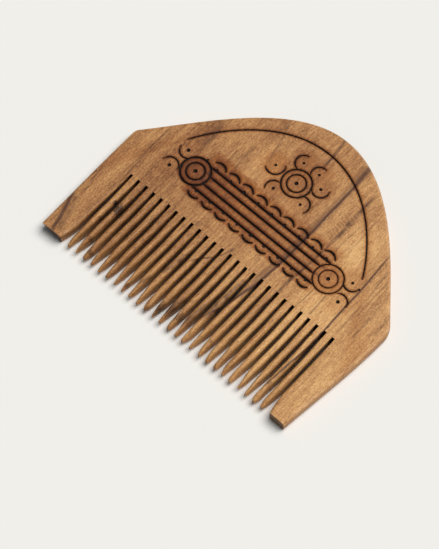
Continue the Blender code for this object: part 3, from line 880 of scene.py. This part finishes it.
def groove_profile(wiring, half_width, depth):
    """A groove's section: a round-bottomed cut between two soft shoulders."""
    line = wiring.add("GeometryNodeCurvePrimitiveLine", None, {0: (-1, 0, 0), 1: (1, 0, 0)})
    points = wiring.add("GeometryNodeResampleCurve", None, {0: line, 2: GROOVE_SECTION_POINTS})
    place = wiring.add("ShaderNodeSeparateXYZ", None, (wiring.add("GeometryNodeInputPosition"),))
    size = abs(place)
    in_core = size.math("LESS_THAN", size, GROOVE_CORE_SHARE + SLACK)
    turn = size * (math.radians(90) / GROOVE_CORE_SHARE)
    past_core = (size - GROOVE_CORE_SHARE) / (1 - GROOVE_CORE_SHARE)
    core_out = turn.sine() * half_width
    shoulder_out = half_width + (GROOVE_SHOULDER * SHOULDER_OVERLAP - half_width) * past_core
    out = shoulder_out + (core_out - shoulder_out) * in_core
    bowl = (1 - (out / GROOVE_SHOULDER) ** 2) * SHOULDER_DEPTH
    drop = bowl + turn.cosine() * depth * in_core
    section = wiring.vector(place.math("SIGN", place) * out * -1, drop, 0)
    shaped = wiring.add("GeometryNodeSetPosition", None, {0: points, 2: section})
    return wiring.add("GeometryNodeSetSplineCyclic", None, {0: shaped, 2: True})


def groove_tree():
    """A cutter along every path, with its open ends drawn in to the point of the tool."""
    sizes = ("Groove Width", "Groove Depth", "Unevenness", "End Share")
    tree, wiring, given = geometry_tree("carved_groove", [(size, "Float") for size in sizes])
    half_width = given["Groove Width"] / 2
    so_far = wiring.add("GeometryNodeSplineParameter", None, (), 1)
    whole = wiring.add("GeometryNodeSplineLength")
    closed = wiring.add("GeometryNodeInputSplineCyclic")
    from_end = so_far.lesser(whole - so_far)
    short = 1 - (from_end / half_width).lesser(1)
    blunt = (1 - short * short).greater(GROOVE_END_BLUNTNESS) ** 0.5
    drawn_in = given["End Share"] + (1 - given["End Share"]) * (from_end / GROOVE_FADE).lesser(1)
    end_share = (blunt * drawn_in).greater(closed)
    here = wiring.add("GeometryNodeInputPosition")
    wave = wiring.add("ShaderNodeTexNoise", None, {0: here, 2: GROOVE_WAVE_SCALE, 3: GROOVE_WAVE_DETAIL})
    size = wiring.add("GeometryNodeInputRadius")
    share = end_share * size * (1 + (wave - 0.5) * given["Unevenness"])
    profile = groove_profile(wiring, half_width, given["Groove Depth"])
    upright = wiring.add("GeometryNodeSetCurveNormal", {"mode": "Z_UP"}, (given["Geometry"],))
    tube = wiring.add("GeometryNodeCurveToMesh", None, {0: upright, 1: profile, 2: share, 3: True})
    close_tree(wiring, tube, given["Wood"])
    return tree


def arc(x, y, radius, start, end):
    """Places along an arc, with closer ones at both ends, where the groove is drawn in."""
    length = radius * math.radians(abs(end - start))
    count = max(3, round(length / GROOVE_SPACING))
    shares = [place / count for place in range(count + 1)]
    if abs(end - start) < 360:
        shares = with_ends(shares, length)
    angles = [math.radians(start + (end - start) * share) for share in shares]
    return [(x + radius * math.cos(angle), y + radius * math.sin(angle)) for angle in angles]


def with_ends(shares, length):
    """The shares along a path, with two more near each end."""
    close = [part * GROOVE_WIDTH / 2 / length for part in END_PLACES]
    clear = END_CLEARANCE * close[-1]
    middle = [share for share in shares if clear < share < 1 - clear]
    return [0, *close, *middle, 1 - close[1], 1 - close[0], 1]


def straight(y, start, end):
    """Places along one of the band's lines."""
    count = round((end - start) / GROOVE_SPACING / STRAIGHT_SPACING)
    shares = with_ends([place / count for place in range(count + 1)], end - start)
    return [(start + (end - start) * share, y) for share in shares]


def ring(middle, radius):
    return arc(*middle, radius, 0, 360)[:-1]


def long_arc():
    """The arc that follows the dome, from its left end over its crown to its right end."""
    halves = []
    for side, end in ((-1, LONG_ARC_LEFT), (1, LONG_ARC_RIGHT)):
        end_way = Vector((-side * math.cos(LONG_ARC_END_ANGLE), math.sin(LONG_ARC_END_ANGLE)))
        end_handle = end + end_way * LONG_ARC_END_HANDLE
        crown_handle = LONG_ARC_CROWN + Vector((side * LONG_ARC_CROWN_HANDLE, 0))
        halves.append(bezier(end, end_handle, crown_handle, LONG_ARC_CROWN, LONG_ARC_STEPS))
    return [tuple(place) for place in halves[0] + [LONG_ARC_CROWN] + halves[1][::-1]]


def scallops():
    """The scallops over and under the band. The upper ones run on past their right ends."""
    paths = []
    for x in SCALLOP_MIDDLES:
        for height, facing, tail in SCALLOP_ROWS:
            start = facing - SCALLOP_HALF_SPAN - tail
            paths.append(arc(x, height, SCALLOP_RADIUS, start, facing + SCALLOP_HALF_SPAN))
    return paths


def groove_cutter(name, paths, depth, tree, wood):
    """A cutter along paths that stay clear of each other: places, whether it is closed, and its size."""
    curve = bpy.data.curves.new(name, "CURVE")
    curve.dimensions = "3D"
    for path, closed, size in paths:
        spline = curve.splines.new("POLY")
        spline.points.add(len(path) - 1)
        for point, (x, y) in zip(spline.points, path):
            point.co = (x, y, 0, 1)
            point.radius = size
        spline.use_cyclic_u = closed
    return run_tree(in_scene(name, curve), tree, {
        "Groove Width": GROOVE_WIDTH,
        "Groove Depth": depth,
        "Unevenness": GROOVE_UNEVENNESS,
        "End Share": GROOVE_END_SHARE,
        "Wood": wood,
    })


def dot_tree():
    """A round pit at every point."""
    inputs = [("Dot Radius", "Float"), ("Dot Depth", "Float"), ("Seed", "Int")]
    tree, wiring, given = geometry_tree("punched_dots", inputs)
    ball = wiring.add("GeometryNodeMeshUVSphere", None, {0: DOT_SEGMENTS, 1: DOT_RINGS, 2: 1.0})
    even = wiring.add("GeometryNodeInputNamedAttribute", {"data_type": "FLOAT"}, ("dot_size",))
    size = even * wiring.chance(SMALLEST_DOT, LARGEST_DOT, given["Seed"])
    radius = given["Dot Radius"] * size
    scale = wiring.vector(radius, radius, given["Dot Depth"] * size)
    pits = wiring.add("GeometryNodeInstanceOnPoints", None, {0: given["Geometry"], 2: ball, 6: scale})
    close_tree(wiring, pits, given["Wood"])
    return tree


def dot_places():
    """Every dot of the ornament: across, up and size."""
    places = [(*middle, RING_DOT_SIZE) for middle in RING_MIDDLES]
    places += [(*middle, SPARE_DOT_SIZE) for middle in SPARE_DOTS]
    places += [(x, BAND_LINES[0][0] + DOT_SIDESTEP, 1.0) for x in SCALLOP_MIDDLES]
    places += [(x, BAND_LINES[3][0] - DOT_SIDESTEP, 1.0) for x in SCALLOP_MIDDLES]
    return places + [(*curl[:2], 1.0) for curl in END_CURLS + ROSETTE_CURLS]


def dot_cutter(wood):
    bm = bmesh.new()
    sizes = bm.verts.layers.float.new("dot_size")
    for x, y, size in dot_places():
        bm.verts.new((x, y, DOT_LIFT))[sizes] = size
    values = {"Dot Radius": DOT_RADIUS, "Dot Depth": DOT_DEPTH, "Seed": DOT_SEED, "Wood": wood}
    return run_tree(mesh_object("punched_dots", bm), dot_tree(), values)


def groove_paths():
    """Every groove of the ornament: its places, whether it is closed, its size and its depth."""
    paths = []
    for middle, radii, sizes in zip(RING_MIDDLES, RING_RADII, RING_SHARES):
        paths += [(ring(middle, radius), True, size, GROOVE_DEPTH) for radius, size in zip(radii, sizes)]
    paths += [(straight(*line), False, BAND_SHARE, LONG_GROOVE_DEPTH) for line in BAND_LINES]
    paths += [(long_arc(), False, LONG_ARC_SHARE, LONG_GROOVE_DEPTH)]
    paths += [(path, False, SCALLOP_SHARE, CURL_GROOVE_DEPTH) for path in scallops()]
    return paths + [(arc(*curl), False, CURL_SHARE, CURL_GROOVE_DEPTH) for curl in END_CURLS + ROSETTE_CURLS]


def clear_of(path, others):
    """Whether a path keeps clear of the other ones."""
    for other in others:
        for x, y in path[::4] + path[-1:]:
            if any(abs(x - u) < CUTTER_GAP and math.hypot(x - u, y - v) < CUTTER_GAP for u, v in other[::2]):
                return False
    return True


def ornament_cutters(wood):
    """Grooves that cross or come close to each other are in different cutters."""
    groups = []
    for path, closed, size, depth in groove_paths():
        for group in groups:
            if group["depth"] == depth and clear_of(path, [other[0] for other in group["paths"]]):
                group["paths"].append((path, closed, size))
                break
        else:
            groups.append({"depth": depth, "paths": [(path, closed, size)]})
    tree = groove_tree()
    cutters = []
    for index, group in enumerate(groups):
        cutters.append(groove_cutter(f"grooves_{index}", group["paths"], group["depth"], tree, wood))
    return cutters + [dot_cutter(wood)]


def carve(board, cutter, operation, solver="MANIFOLD"):
    """Cuts another piece out or joins it on, and removes it."""
    step = board.modifiers.new(cutter.name, "BOOLEAN")
    step.object = cutter
    step.operation = operation
    step.solver = solver
    bake_modifiers(board)
    bpy.data.objects.remove(cutter)


def filled_in(path):
    """The places along a path, and more between them."""
    places = []
    for (x, y), (u, v) in zip(path, path[1:]):
        count = max(1, math.ceil(math.hypot(u - x, v - y) / NEARNESS_SPACING))
        places += [(x + (u - x) * part / count, y + (v - y) * part / count) for part in range(count)]
    return places + [path[-1]]


def mark_groove_nearness(board):
    """Marks how near each place on the carved face is to a groove or dot; the material paints the grooves'
    shade and a darker fringe from it.
    """
    places = dot_places()
    for path, closed, size, _ in groove_paths():
        places += [(x, y, size) for x, y in filled_in(path + path[:1] if closed else path)]
    tree = kdtree.KDTree(len(places))
    for index, (x, y, _) in enumerate(places):
        tree.insert((x, y, 0), index)
    tree.balance()
    half_width = GROOVE_WIDTH / 2
    burnt = board.data.attributes.new("burnt", "FLOAT", "POINT")
    for vertex, value in zip(board.data.vertices, burnt.data):
        place = vertex.co
        if NEARNESS_DEPTH < place.z < NEARNESS_TOP:
            _, index, off = tree.find((place.x, place.y, 0))
            past = (off / places[index][2] - half_width) / (GROOVE_SHOULDER - half_width)
            value.value = min(max(1 - past, 0), 1)


def make_comb(wood):
    """The whole comb: the board, sawn, its teeth joined on, and carved."""
    comb = board_blank()
    carve(comb, mouth_cutter(random.Random(SLOT_SEED)), "DIFFERENCE", "EXACT")
    carve(comb, guard_edge_cutter(), "DIFFERENCE")
    carve(comb, tooth_row(wood), "UNION")
    for cutter in ornament_cutters(wood):
        carve(comb, cutter, "DIFFERENCE")
    mark_groove_nearness(comb)
    comb.data.materials.clear()
    comb.data.materials.append(wood)
    for face in comb.data.polygons:
        face.material_index = 0
    comb.data.transform(Matrix.Translation(ORIGIN) @ Matrix.Scale(PITCH, 4))
    comb.data.shade_smooth()
    comb.data.set_sharp_from_angle(angle=SHARP_ANGLE)
    weights = comb.modifiers.new("even_light", "WEIGHTED_NORMAL")
    weights.keep_sharp = True
    bake_modifiers(comb)
    comb.name = "wooden_comb"
    comb.data.name = "wooden_comb"
    return comb


def growth_line(wiring, across, up, mottle, places, half_width, strength, broken):
    """How dark one growth line is: it follows its places, breaks up in part and fades at both ends."""
    top, bottom = places[0][0], places[-1][0]
    sides = [place[1] for place in places]
    left, right = min(sides) - LINE_MARGIN, max(sides) + LINE_MARGIN
    bend = [((top - height) / (top - bottom), (side - left) / (right - left)) for height, side in places]
    run = (top - up) / (top - bottom)
    path = wiring.add("ShaderNodeFloatCurve", {"curve": bend}, {1: run}) * (right - left) + left
    off = abs(across - path)
    line = off.rise(half_width * LINE_REACH, half_width * LINE_CORE)
    ends = run.rise(*LINE_START) * run.rise(*LINE_END)
    return line * ends * strength * (1 - mottle.rise(*LINE_GAPS) * broken)


def grain(wiring, across, up, height, scale, stretch, detail, seed, roughness):
    """Noise that is drawn out along the fibres."""
    shifts = [seed * shift for shift in SEED_SHIFTS]
    point = wiring.vector(across + shifts[0], up * stretch + shifts[1], height + shifts[2])
    return wiring.add("ShaderNodeTexNoise", None, {0: point, 2: scale, 3: detail, 4: roughness})


def wood_tone(wiring, across, shifted, lifted, noises):
    """The wood's colour: darker to the left, partly its own tone and partly a painted sheen on the right side,
    uneven in every noise, with paler and browner patches.
    """
    tone = across.rise(*TONE_AND_SHEEN_SPAN) * TONE_AND_SHEEN_RISE + LEFT_TONE
    for name, weight in TONE_WEIGHTS.items():
        tone = tone + (noises[name] - 0.5) * weight
    for x, y, reach_across, reach_up, paler in PATCHES:
        off = (((shifted - x) / reach_across) ** 2 + ((lifted - y) / reach_up) ** 2) ** 0.5
        off = off + (noises["mottle"] - 0.5)
        tone = tone + off.rise(*PATCH_EDGE) * paler
    return wiring.add("ShaderNodeValToRGB", {"stops": WOOD_TONES}, (tone,))


def rippled_figure(across, up, mottle):
    """Fine ripples across the fibres, at the one place that has them."""
    wave = (up * RIPPLE_WAVES[0] + across * RIPPLE_WAVES[1] + mottle * RIPPLE_WAVES[2]).sine() * 0.5 + 0.5
    ripple = wave * abs(across - RIPPLE_MIDDLE[0]).rise(*RIPPLE_SIDES)
    return ripple * abs(up - RIPPLE_MIDDLE[1]).rise(*RIPPLE_ENDS)


def with_knots(wiring, colour, shifted, lifted, speckle):
    for x, y, radius, strength in KNOTS:
        side = shifted - x
        rise = (lifted - y) * KNOT_SQUASH
        off = (side * side + rise * rise) ** 0.5 + (speckle - 0.5) * radius * KNOT_RAGGEDNESS
        colour = wiring.mix(off.rise(radius, radius * KNOT_CORE) * strength, colour, KNOT_BROWN)
    return colour


def scorched_ground(wiring, across, up, wander, mottle):
    """How far the wood round the carving is browned: the band's ground and ends, and each form's halo."""
    here_across = across + wander * WANDER_SHARE
    here_up = up + wander * WANDER_SHARE
    from_middle = abs(here_across + BAND_OFF_MIDDLE)
    broken_up = here_up + (mottle - 0.5) * GROUND_RAGGEDNESS
    ground = from_middle.rise(*GROUND_SIDES) * up.rise(*GROUND_FOOT) * broken_up.rise(*GROUND_TOP)
    share = ground * (GROUND_SCORCH - across.rise(*GROUND_PALING_SPAN) * GROUND_PALING)
    ends = from_middle.rise(*BAND_END_SIDES) * here_up.rise(*BAND_END_FOOT) * here_up.rise(*BAND_END_TOP)
    share = share.greater(ends * CURL_SCORCH)
    for (x, y), strength in zip(MEDALLIONS, MEDALLION_SCORCH):
        off = ((across - x) ** 2 + (up - y) ** 2) ** 0.5
        share = share.greater(off.rise(*MEDALLION_HALO) * strength)
    rosette_scorch = ROSETTE_SCORCH + (here_up - here_across).rise(*ROSETTE_SPAN) * ROSETTE_DARKENING
    for x, y, radius in [(*ROSETTE, ROSETTE_RADII[0])] + [curl[:3] for curl in END_CURLS + ROSETTE_CURLS]:
        off = ((here_across - x) ** 2 + (here_up - y - HALO_LIFT) ** 2) ** 0.5
        strength = rosette_scorch if y > BAND_TOP else CURL_SCORCH
        share = share.greater(off.rise(radius + HALO_OUTSIDE, radius - HALO_INSIDE) * strength)
    over_arc = here_up - arc_height(wiring, across)
    flatness = 1 - (abs(across) / ARC_SPAN) * ARC_STEEPNESS
    halo = (over_arc * flatness).rise(*ARC_HALO_TOP) * (over_arc * flatness).rise(*ARC_HALO_FOOT)
    return share.greater(halo * ARC_SCORCH)


def arc_height(wiring, across):
    """How high the long arc is at a place across."""
    path = long_arc()
    left, right = path[0][0], path[-1][0]
    lowest, highest = path[0][1], LONG_ARC_CROWN.y
    few = path[::len(path) // ARC_CURVE_PLACES]
    bend = [((x - left) / (right - left), (y - lowest) / (highest - lowest)) for x, y in few]
    run = (across - left) / (right - left)
    return wiring.add("ShaderNodeFloatCurve", {"curve": bend}, {1: run}) * (highest - lowest) + lowest


def band_upper_shade(across, up):
    """Painted shade on the upper side of each of the band's lines, where the groove's shoulder faces away from
    the light.
    """
    overs = (up - line[0] for line in BAND_LINES)
    fringes = (over.rise(*UPPER_SHADE_TOP) * over.rise(*UPPER_SHADE_FOOT) for over in overs)
    return reduce(Signal.greater, fringes) * abs(across).rise(*UPPER_SHADE_SIDES)


def wood_material():
    """Oiled hardwood: fibres along the teeth, growth lines, knots, a scorched ground under the carving."""
    material = bpy.data.materials.new("oiled_wood")
    material.use_nodes = True
    tree = material.node_tree
    tree.nodes.clear()
    wiring = Wiring(tree)
    place = wiring.add("ShaderNodeTexCoord", None, (), 3)
    in_pitches = {0: place, 1: ORIGIN, 3: (PITCH,) * 3}
    across, up, height = wiring.parts(wiring.add("ShaderNodeMapping", {"vector_type": "TEXTURE"}, in_pitches))
    noises = {name: grain(wiring, across, up, height, *values) for name, values in GRAIN.items()}
    fibres, speckle, mottle = noises["fibres"], noises["speckle"], noises["mottle"]
    wander = (noises["wander"] - 0.5) * WANDER_WIDTH
    shifted = across + wander * WANDER_SHARE + (speckle - 0.5) * SPECKLE_SHIFT
    lifted = up + wander * WANDER_SHARE

    colour = wood_tone(wiring, across, shifted, lifted, noises)
    pores = noises["pores"].rise(*PORE_LIMITS)
    colour = wiring.tint(pores * PORE_STRENGTH, colour, PORE_SHADE)
    colour = wiring.tint(rippled_figure(across, up, mottle) * RIPPLE_STRENGTH, colour, RIPPLE_SHADE)
    lines = (growth_line(wiring, shifted, lifted, mottle, *values) for values in GROWTH_LINES)
    colour = wiring.mix(reduce(Signal.greater, lines), colour, GROWTH_LINE)
    colour = with_knots(wiring, colour, shifted, lifted, speckle)

    carved_side = height.rise(*CARVED_SIDE)
    scorched = scorched_ground(wiring, across, up, wander, mottle)
    colour = wiring.tint(scorched * carved_side, colour, SCORCHED_TINT)
    off_left = ((across - MEDALLIONS[0][0]) ** 2 + (up - MEDALLIONS[0][1]) ** 2) ** 0.5
    left_ground = off_left.rise(*LEFT_MEDALLION_SPAN)
    colour = wiring.tint(left_ground * carved_side * LEFT_MEDALLION_FRINGE, colour, FRINGE_TINT)
    blotch = abs(up - BLOTCH_MIDDLE[1]).rise(*BLOTCH_ENDS) * abs(across - BLOTCH_MIDDLE[0]).rise(*BLOTCH_SIDES)
    blotch = blotch * mottle.rise(*BLOTCH_LIMITS)
    colour = wiring.tint(blotch * carved_side * BLOTCH_STRENGTH, colour, FRINGE_TINT)
    # Painted shade over the band's lines
    colour = wiring.tint(band_upper_shade(across, up) * carved_side * BAND_UPPER_SHADE, colour, FRINGE_TINT)
    # Along each groove a darker fringe, partly scorch and partly painted shade, and near-black painted shade
    # inside it
    burnt = wiring.add("ShaderNodeAttribute", {"attribute_name": "burnt"}, (), 2)
    colour = wiring.tint(burnt * GROOVE_SCORCH_AND_SHADE, colour, FRINGE_TINT)
    cut = burnt.rise(*CUT_EDGE) * height.rise(*CUT_DEPTHS)
    colour = wiring.mix(cut * GROOVE_SHADE_STRENGTH, colour, PAINTED_DEEP_SHADE)

    in_slots = abs(across).rise(*SLOTS_SIDES) * up.rise(*SLOTS_TOP)
    # Painted shade on the teeth's sides down in the slots, fading towards the tips
    painted_slot_shade = in_slots * height.rise(*SLOT_SHADE_TOP) * height.rise(*SLOT_SHADE_FOOT) * up.rise(*SLOT_SHADE_SPAN)
    colour = wiring.tint(painted_slot_shade * SLOT_SHADE_STRENGTH, colour, SLOT_SHADE_PAINT)
    # Near-black painted shade on the slots' walls just under the face, at their ends
    painted_slot_end_shade = in_slots * height.rise(*SLOT_END_SHADE_DEPTHS) * up.rise(*SLOT_END_SHADE_SPAN)
    colour = wiring.mix(painted_slot_end_shade * SLOT_END_SHADE_STRENGTH, colour, PAINTED_DEEP_SHADE)

    _, end_facing, top_facing = wiring.parts(wiring.add("ShaderNodeTexCoord", None, (), 1))
    on_rim = abs(across).rise(*RIM_SIDES).greater(up.rise(*RIM_FOOT)) * (1 - burnt.rise(*CLEAR_OF_GROOVES))
    # The rounded upper edge of the rim is paler: partly wear, partly a painted sheen
    wear_and_sheen = top_facing.rise(*WEAR_SHEEN_OUTSIDE) * top_facing.rise(*WEAR_SHEEN_INSIDE) * on_rim * height.rise(*WEAR_SHEEN_DEPTHS)
    colour = wiring.mix(wear_and_sheen * mottle.rise(*WEAR_SHEEN_LIMITS) * WEAR_SHEEN_STRENGTH, colour, WEAR_AND_SHEEN_EDGE)
    side_shade = top_facing.rise(*SIDE_FACING) * on_rim * height.rise(*SIDE_DEPTHS)
    colour = wiring.tint(side_shade * SIDE_STRENGTH, colour, FRINGE_TINT)
    # Faces that face along the teeth, such as the guard teeth's ends, are darkened and greyed
    colour = wiring.tint(abs(end_facing).rise(*END_FACING) * END_STRENGTH, colour, ALONG_TEETH_FACE_TINT)

    relief = fibres * FIBRE_RELIEF + noises["fine"] * FINE_RELIEF + speckle * SPECKLE_RELIEF
    relief = relief - pores * PORE_RELIEF
    values = {"Strength": BUMP_STRENGTH, "Distance": BUMP_METRES, "Height": relief}
    bump = wiring.add("ShaderNodeBump", None, values)
    roughness = WOOD_ROUGHNESS + (mottle - 0.5) * MOTTLE_ROUGHNESS + burnt * GROOVE_ROUGHNESS
    roughness = roughness + (fibres - 0.5) * FIBRE_ROUGHNESS
    shader = wiring.add("ShaderNodeBsdfPrincipled", None, {
        "Base Color": colour,
        "Roughness": roughness,
        "Normal": bump,
        "Specular IOR Level": WOOD_GLOSS,
    })
    wiring.add("ShaderNodeOutputMaterial", None, (shader,))
    return material


def pale_floor():
    """A wide pale floor under the comb, one colour all over, which takes its shadow."""
    bm = bmesh.new()
    corners = ((-FLOOR_REACH, -FLOOR_REACH), (FLOOR_REACH, -FLOOR_REACH),
               (FLOOR_REACH, FLOOR_REACH), (-FLOOR_REACH, FLOOR_REACH))
    bm.faces.new([bm.verts.new((x, y, low_corner.z - FLOOR_DROP)) for x, y in corners])
    floor = mesh_object("pale_floor", bm)
    material = bpy.data.materials.new("pale_floor")
    material.use_nodes = True
    shader = material.node_tree.nodes["Principled BSDF"]
    shader.inputs["Base Color"].default_value = FLOOR_COLOUR
    shader.inputs["Roughness"].default_value = 1.0
    shader.inputs["Specular IOR Level"].default_value = 0.0
    floor.data.materials.append(material)


def studio_light():
    """A steep, soft main light from past the dome, a little from the right, in a faintly cool room."""
    light = bpy.data.lights.new("main_softbox", "SUN")
    light.energy = LAMP_STRENGTH
    light.angle = LAMP_SPREAD
    lamp = in_scene("main_softbox", light)
    lamp.rotation_euler = LAMP_DIRECTION.to_track_quat("Z", "Y").to_euler()
    world = bpy.data.worlds.new("pale_room")
    bpy.context.scene.world = world
    world.use_nodes = True
    room = world.node_tree.nodes["Background"]
    room.inputs["Color"].default_value = ROOM_COLOUR
    room.inputs["Strength"].default_value = ROOM_STRENGTH


def photo_camera():
    """The camera of the photograph, fitted to the slots, tips and rings."""
    data = bpy.data.cameras.new("photo_camera")
    data.sensor_fit = "VERTICAL"
    data.sensor_height = SENSOR_HEIGHT_MM
    data.lens = CAMERA_LENS_MM
    data.clip_start, data.clip_end = CAMERA_CLIP
    camera = in_scene("photo_camera", data)
    back = CAMERA_RIGHT.cross(CAMERA_UP)
    turn = Matrix((CAMERA_RIGHT, CAMERA_UP, back)).transposed().to_4x4()
    camera.matrix_world = Matrix.Translation(to_metres(CAMERA_PLACE)) @ turn
    bpy.context.scene.camera = camera


wood = wood_material()
comb = make_comb(wood)
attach(comb, "root")
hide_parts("comb")
pale_floor()
studio_light()
photo_camera()
bpy.context.scene.view_settings.view_transform = "Standard"
